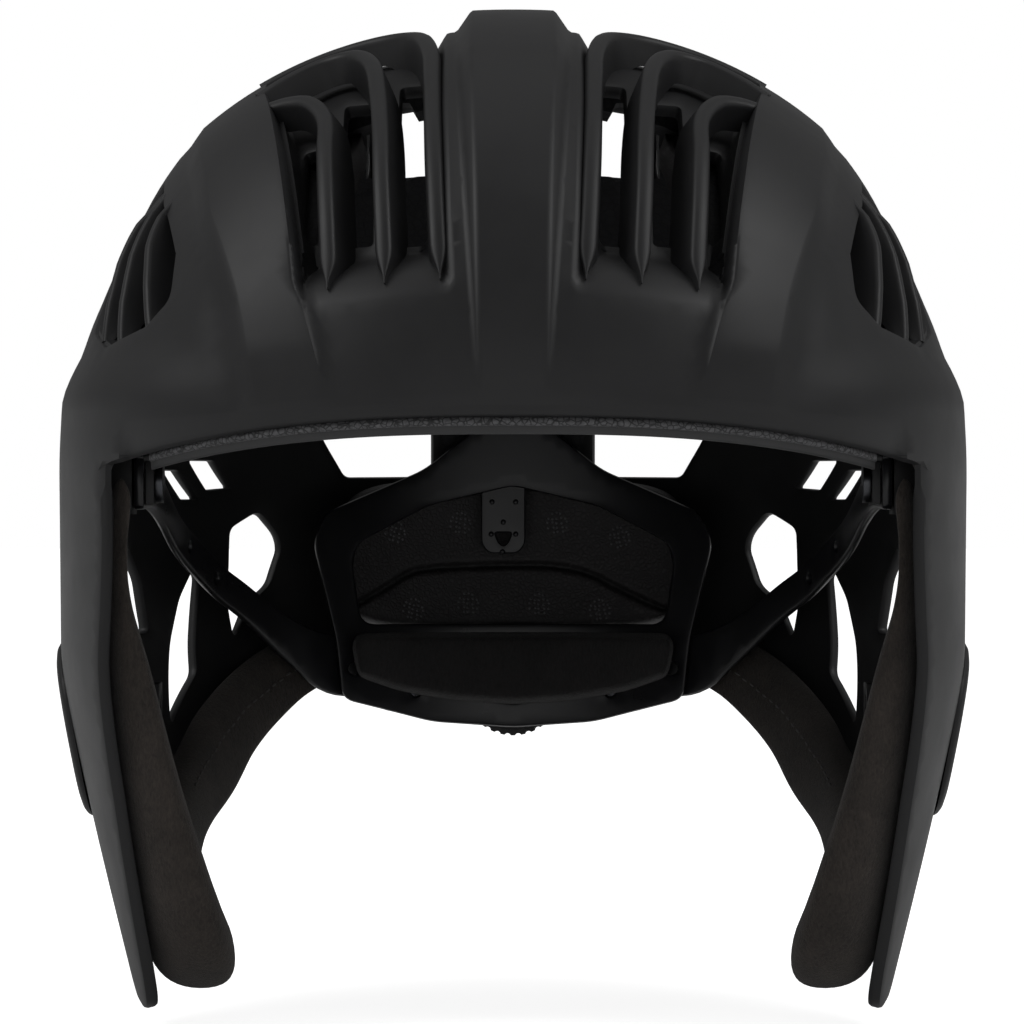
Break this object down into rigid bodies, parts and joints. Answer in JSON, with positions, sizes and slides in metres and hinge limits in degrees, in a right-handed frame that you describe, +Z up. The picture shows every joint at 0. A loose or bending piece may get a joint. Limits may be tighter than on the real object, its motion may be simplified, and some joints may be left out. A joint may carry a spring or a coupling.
{
  "type": "surf helmet",
  "caption": "Vented hard-shell surf helmet with a crest, long ear guards, removable ear covers, foam liner, soft pads and a dial-tightened fit cradle.",
  "frame": {"origin": "point between the wearer's ear canals, on the helmet's plane of symmetry", "axes": "+Z up, -Y the way the wearer faces, +X the wearer's left, which the picture shows on its right"},
  "size_m": [0.208, 0.2393, 0.2239],
  "materials": {
    "shell": "satin black moulded shell with a very fine grain",
    "trim": "dark grey, lightly cracked edge trim",
    "foam": "black bead foam",
    "pad_fabric": "black comfort pad fabric",
    "ear_pad_fabric": "brown-black napped fabric over foam",
    "cover": "satin black",
    "fit_plastic": "black nylon",
    "fit_gloss": "half-gloss black nylon",
    "screw_steel": "stainless steel",
    "dial": "black knurled grip"
  },
  "bodies": {
    "helmet": {"outer_shell": "shell", "brim_trim": "trim", "foam_liner": "foam", "brow_pad": "pad_fabric", "crown_pads": "pad_fabric", "nape_pad": "pad_fabric", "ear_pad_left": "ear_pad_fabric", "ear_pad_right": "ear_pad_fabric", "strap_anchors_left": "fit_plastic", "strap_anchors_right": "fit_plastic", "temple_anchor_left": "fit_plastic", "temple_anchor_right": "fit_plastic", "temple_screws": "screw_steel"},
    "sliders": {"temple_slider_left": "fit_plastic", "temple_slider_right": "fit_plastic"},
    "cradle": {"fit_arm_left": "fit_plastic", "fit_arm_right": "fit_plastic", "arm_rivets": "fit_plastic", "yoke_frame": "fit_gloss", "height_plate": "fit_gloss", "dial_housing": "fit_gloss", "housing_screws": "screw_steel", "occipital_pad": "pad_fabric", "ratchet_ring": "fit_plastic", "spool_spindle": "screw_steel"},
    "spool": {"spool": "fit_plastic"},
    "dial": {"dial_knob": "dial"},
    "ear_cover_left": {"ear_cover_left": "cover"},
    "ear_cover_right": {"ear_cover_right": "cover"}
  },
  "joints": [
    {"name": "fit_height", "type": "hinge", "parent": "helmet", "child": "sliders", "pos_m": [0, -0.042, 0.05], "axis": [1, 0, 0], "range_deg": [-4, 0]},
    {"name": "fit_tighten", "type": "slide", "parent": "sliders", "child": "cradle", "axis": [0, -1, 0], "range_m": [0, 0.012]},
    {"name": "spool_turn", "type": "hinge", "parent": "cradle", "child": "spool", "pos_m": [0, 0.106, 0], "axis": [0, 1, 0], "range_deg": [-115, 0]},
    {"name": "dial_release", "type": "slide", "parent": "spool", "child": "dial", "axis": [0, 1, 0], "range_m": [0, 0.003]},
    {"name": "cover_left_off", "type": "slide", "parent": "helmet", "child": "ear_cover_left", "axis": [-1, 0, 0], "range_m": [0, 0.03]},
    {"name": "cover_right_off", "type": "slide", "parent": "helmet", "child": "ear_cover_right", "axis": [1, 0, 0], "range_m": [0, 0.03]}
  ],
  "couplings": [
    {"joint": "spool_turn", "follows": "fit_tighten", "rad_per_m": -166.67}
  ]
}
